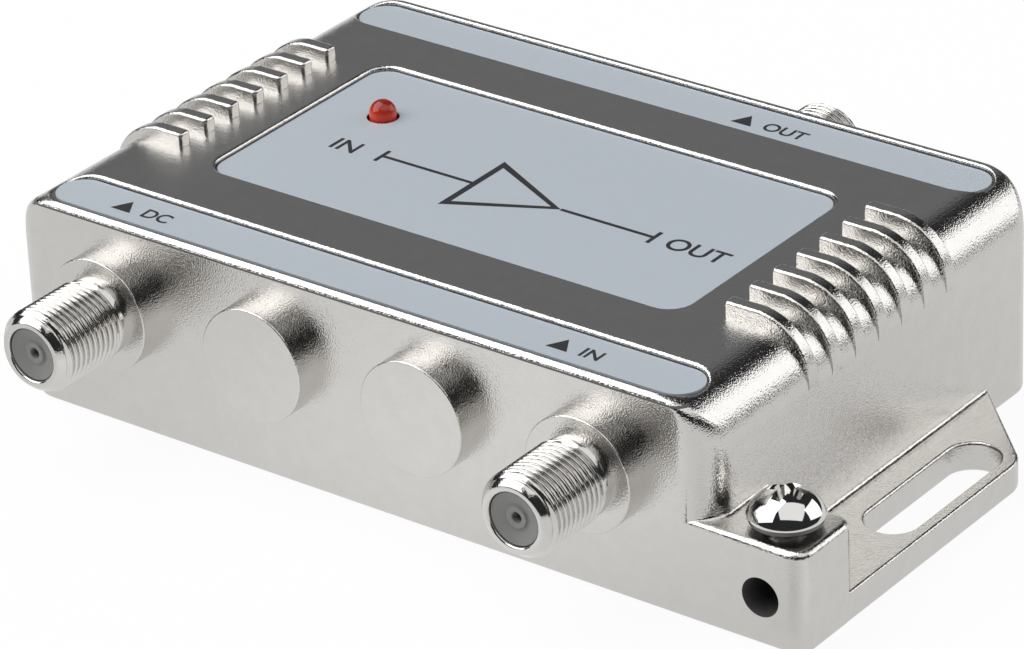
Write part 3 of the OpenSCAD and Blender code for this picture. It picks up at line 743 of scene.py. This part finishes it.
def screw():
    """The earth screw with its pan head and cross recess, about Z."""
    root = SHANK_R - SHANK_DEPTH
    count = round((HEAD_Z - SHANK_NECK - screw_low.z) / SHANK_RING)
    profile = [(0, screw_low.z)] + [(root, screw_low.z + SHANK_RING * i) for i in range(count + 1)]
    profile += [(SHANK_R, HEAD_Z), (HEAD_R - HEAD_EDGE, HEAD_Z), (HEAD_R, HEAD_Z + HEAD_EDGE),
                (HEAD_R, HEAD_Z + HEAD_RIM)]
    first = math.radians(HEAD_START)
    rise = (HEAD_H - HEAD_RIM) / (1 - math.sin(first))
    profile += [(HEAD_R * math.cos(a) / math.cos(first), HEAD_Z + HEAD_RIM + rise * (math.sin(a) - math.sin(first)))
                for a in arc(HEAD_START, 90, 20)[1:-1]]
    profile += [(0, screw_high.z)]
    obj = turned("earth_screw_head", profile)
    threaded(obj, root, SHANK_R, SHANK_PITCH, lambda h: min(SHANK_R, root + (h - screw_low.z) * SHANK_LEAD))
    for turn in (0, 90):
        rings = [[(sx * a, sy * b, screw_high.z + h) for sx, sy in ((1, 1), (-1, 1), (-1, -1), (1, -1))]
                 for a, b, h in CROSS]
        cut(obj, place(loft("cross", rings), Matrix.Rotation(math.radians(turn), 4, "Z")))
    return obj


def washer():
    """The captive washer with its broken outer edges, about Z."""
    low, high, inset = washer_low.z, washer_high.z, WASHER_R - WASHER_EDGE
    return turned("captive_washer", [
        (WASHER_HOLE, low), (inset, low), (WASHER_R, low + WASHER_EDGE),
        (WASHER_R, high - WASHER_EDGE), (inset, high), (WASHER_HOLE, high)], 72, loop=True)


finish(place(lens(), upright(LAMP_AXIS)), "amplifier", "red_lens", LENS, "status_led")
finish(place(screw(), upright(SCREW_AXIS)), "screw", "screw_nickel", POLISHED, "earth_screw")
finish(place(washer(), upright(SCREW_AXIS)), "washer", "dark_steel", DARK_STEEL, "earth_washer")


# Print on the labels: arrows, plain words and the sign of an amplifier

# Height of the labels, half thickness of the print, and how much bolder its letters are
PRINT_Z, PRINT_T, BOLD = box("main_label")[1].z, 0.01, 0.05
# Arrow: half width, then its foot and its point from the middle
ARROW_W, ARROW_FOOT, ARROW_POINT = 1.35, 1, 1.3
# Letter heights on the strips and the main label, and the step from an arrow to its word
STRIP_TEXT, MAIN_TEXT, WORD_STEP = 2.6, 3.6, (2.5, -0.9)
# Sign: outer and inner corners of its triangle, then its lines as (low x, high x, low y, high y)
SIGN_OUTER = ((-5, -8), (-5, 4), (7, -2))
SIGN_INNER = ((-4.2, -6.7), (-4.2, 2.7), (5.7, -2))
SIGN_LINES = ((-17, -5, -2.25, -1.75), (7, 19, -2.25, -1.75), (-17.5, -17, -3.4, -0.6), (19, 19.5, -3.4, -0.6))
SIGN_WORDS = (("IN", -24, -3.3), ("OUT", 21, -3.3))
# Words with arrows on the strips, and the places of the arrows
FRONT_WORDS = (("DC", -33.1, -26.6), ("IN", 25.2, -26.6))
REAR_WORDS = (("OUT", 11.3, 26.5),)


def patch(*points):
    return loft("print", [level(points, PRINT_Z - PRINT_T), level(points, PRINT_Z + PRINT_T)])


def word(text, x, y, size):
    alone()
    bpy.ops.object.text_add()
    obj = named("print")
    obj.data.body, obj.data.size, obj.data.extrude, obj.data.offset = text, size, PRINT_T, BOLD
    bpy.ops.object.convert(target="MESH")
    return place(bpy.context.active_object, Matrix.Translation((x, y, PRINT_Z)))


def arrows(words):
    made = []
    for text, x, y in words:
        made.append(patch((x - ARROW_W, y - ARROW_FOOT), (x + ARROW_W, y - ARROW_FOOT), (x, y + ARROW_POINT)))
        made.append(word(text, x + WORD_STEP[0], y + WORD_STEP[1], STRIP_TEXT))
    return made


def amplifier_sign():
    made = [patch((x0, y0), (x1, y0), (x1, y1), (x0, y1)) for x0, x1, y0, y1 in SIGN_LINES]
    for i in range(3):
        j = (i + 1) % 3
        made.append(patch(SIGN_OUTER[i], SIGN_INNER[i], SIGN_INNER[j], SIGN_OUTER[j]))
    return made + [word(*at, MAIN_TEXT) for at in SIGN_WORDS]


PRINTS = {"front_print": arrows(FRONT_WORDS), "rear_print": arrows(REAR_WORDS), "main_print": amplifier_sign()}
for name, pieces in PRINTS.items():
    made = join(*pieces)
    made.name = name
    finish(made, "amplifier", "label_foil", INK)


# CAD pieces that stay as they are take these materials
KEPT = {
    "bottom_cover": SHEET, "power_contact": BRONZE, "input_contact": BRONZE, "output_contact": BRONZE,
    "main_label": FOIL, "front_label": FOIL, "rear_label": FOIL, "led_leads": TINNED, "circuit_board": LAMINATE,
    "board_screws": TINNED, "amplifier_chip": MOULDING, "thermal_pad": PAD, "voltage_regulator": MOULDING,
    "protection_diode": MOULDING, "smoothing_capacitors": CAN, "dc_choke": FERRITE, "ferrite_transformers": FERRITE,
    "tuning_coils": COPPER, "surge_arrester": TINNED, "shield_wall": TINNED, "ceramic_capacitors": CERAMIC,
    "chip_resistors": MOULDING,
}
for name, material in KEPT.items():
    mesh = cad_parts[name].data
    mesh.materials.clear()
    mesh.materials.append(material)


# Stage: floor, world, lamps and camera, in metres

# Floor: size, how far it lies below the base, its grey, and how much of its shown white is its own light
FLOOR_SIZE, FLOOR_DROP, FLOOR_GREY, FLOOR_GLOW = 12, 0.0002, 0.92, 0.94
# How much darker the floor is in mirrored light, and soft spots of painted light and painted shadow where that
# differs: place, radius and amount
FLOOR_SHADE = 0.18
PAINTED_POOLS = (
    (0.002, -0.060, 0.058, -0.17),
    (0.058, -0.044, 0.016, 0.15),
    (0.073, -0.031, 0.013, -0.12),
    (0.070, 0.025, 0.030, 0.06),
)
# World: white below the horizon, and dim above it apart from a soft grey field in one direction
SKY_TINT, HORIZON = (0.95, 0.97, 1, 1), 0.015
FIELD_WAY, FIELD_EDGE, FIELD_CORE = (-0.54, 0.70, 0.47), 0.86, 0.975
SKY_DIM, FIELD_GREY = 0.03, 0.195
# Lamps: name, direction from the object, direction of the width, width and height, and brightness
LAMPS = (
    ("left", (-0.578, -0.326, 0.747), (-0.034, -0.907, -0.421), (2.55, 1.8), 2.5),
    ("rear_right", (0.586, 0.696, 0.415), (0.632, 0, -0.775), (1.05, 1.6), 1.5),
    ("above", (0.36, -0.12, 0.925), (0.788, 0.615, 0), (2.0, 1.7), 1.0),
)
LAMP_AWAY = 1.7
# Camera: place, direction backwards, roll and azimuth in degrees, focal length and sensor width in millimetres
CAMERA_AT, CAMERA_BACK = (0.3148, -0.4056, 0.2798), Vector((0.5437, -0.6964, 0.4684))
CAMERA_ROLL, CAMERA_AZIMUTH, FOCAL, SENSOR, CLIP = -2.5124, 37.9787, 186.93, 36, 0.01


def painted_pool(start, x, y, radius):
    """A soft round spot on the floor for painted light and shadow, from 1 in its middle to 0."""
    where = start.node("ShaderNodeTexCoord", output="Object")
    away = start.node("ShaderNodeVectorMath", {"operation": "DISTANCE"}, {0: where, 1: (x, y, 0)}, output="Value")
    return ramp(start, away, 0.0, radius, 1.0, 0.0)


def paper():
    """White paper that shows plain to the camera and a little darker in what mirrors it, where it also holds painted
    spots of light and shadow.
    """
    made = bpy.data.materials.new("paper")
    start = tree_of(made)
    seen, mirrored, through = [start.node("ShaderNodeLightPath", output=name)
                               for name in ("Is Camera Ray", "Is Glossy Ray", "Is Transmission Ray")]
    plain = start.node("ShaderNodeBsdfDiffuse", None, {"Color": (FLOOR_GREY, FLOOR_GREY, FLOOR_GREY, 1)})
    shade = FLOOR_SHADE
    # Painted pools of light and shadow, seen only in what mirrors the floor
    for x, y, radius, amount in PAINTED_POOLS:
        shade = shade + amount * painted_pool(start, x, y, radius)
    white = start.node("ShaderNodeEmission", None, {"Color": (1, 1, 1, 1), "Strength": 1 - mirrored * shade})
    shown = start.node("ShaderNodeMixShader", None,
                       {0: (seen + mirrored + through) * FLOOR_GLOW, 1: plain, 2: white})
    start.node("ShaderNodeOutputMaterial", None, {"Surface": shown})
    return made


def ground():
    alone()
    bpy.ops.mesh.primitive_plane_add(size=FLOOR_SIZE, location=(0, 0, -FLOOR_DROP))
    floor = named("floor")
    floor.data.materials.append(paper())


def studio():
    scene.world = bpy.data.worlds.new("studio")
    start = tree_of(scene.world)
    way = start.node("ShaderNodeTexCoord", output="Generated")
    rise = start.node("ShaderNodeSeparateXYZ", None, {0: way}, output="Z")
    behind = start.node("ShaderNodeVectorMath", {"operation": "DOT_PRODUCT"}, {0: way, 1: FIELD_WAY}, output="Value")
    dim = ramp(start, behind, FIELD_EDGE, FIELD_CORE, SKY_DIM, FIELD_GREY)
    low = ramp(start, rise, 0.0, HORIZON, 1.0, 0.0)
    sky = start.node("ShaderNodeBackground", None, {"Color": SKY_TINT, "Strength": low + (1 - low) * dim})
    start.node("ShaderNodeOutputWorld", None, {"Surface": sky})


def lamps():
    for name, direction, along, size, brightness in LAMPS:
        data = bpy.data.lights.new(name, "AREA")
        data.shape = "RECTANGLE"
        data.size, data.size_y = size
        data.energy = brightness * math.pi * size[0] * size[1]
        obj = bpy.data.objects.new(name, data)
        scene.collection.objects.link(obj)
        back = Vector(direction).normalized()
        high = back.cross(Vector(along)).normalized()
        axes = Matrix((high.cross(back), high, back)).transposed().to_4x4()
        obj.matrix_world = Matrix.Translation(back * LAMP_AWAY) @ axes
        obj.visible_camera = False


def camera():
    data = bpy.data.cameras.new("camera")
    data.lens, data.sensor_width, data.clip_start = FOCAL, SENSOR, CLIP
    obj = bpy.data.objects.new("camera", data)
    scene.collection.objects.link(obj)
    roll, azimuth = math.radians(CAMERA_ROLL), math.radians(CAMERA_AZIMUTH)
    flat = Vector((math.cos(azimuth), math.sin(azimuth), 0))
    up = CAMERA_BACK.cross(flat)
    right = math.cos(roll) * flat + math.sin(roll) * up
    high = math.cos(roll) * up - math.sin(roll) * flat
    axes = Matrix((right, high, CAMERA_BACK)).transposed().to_4x4()
    obj.matrix_world = Matrix.Translation(CAMERA_AT) @ axes
    scene.camera = obj


ground()
studio()
lamps()
camera()
scene.view_settings.view_transform = "Standard"
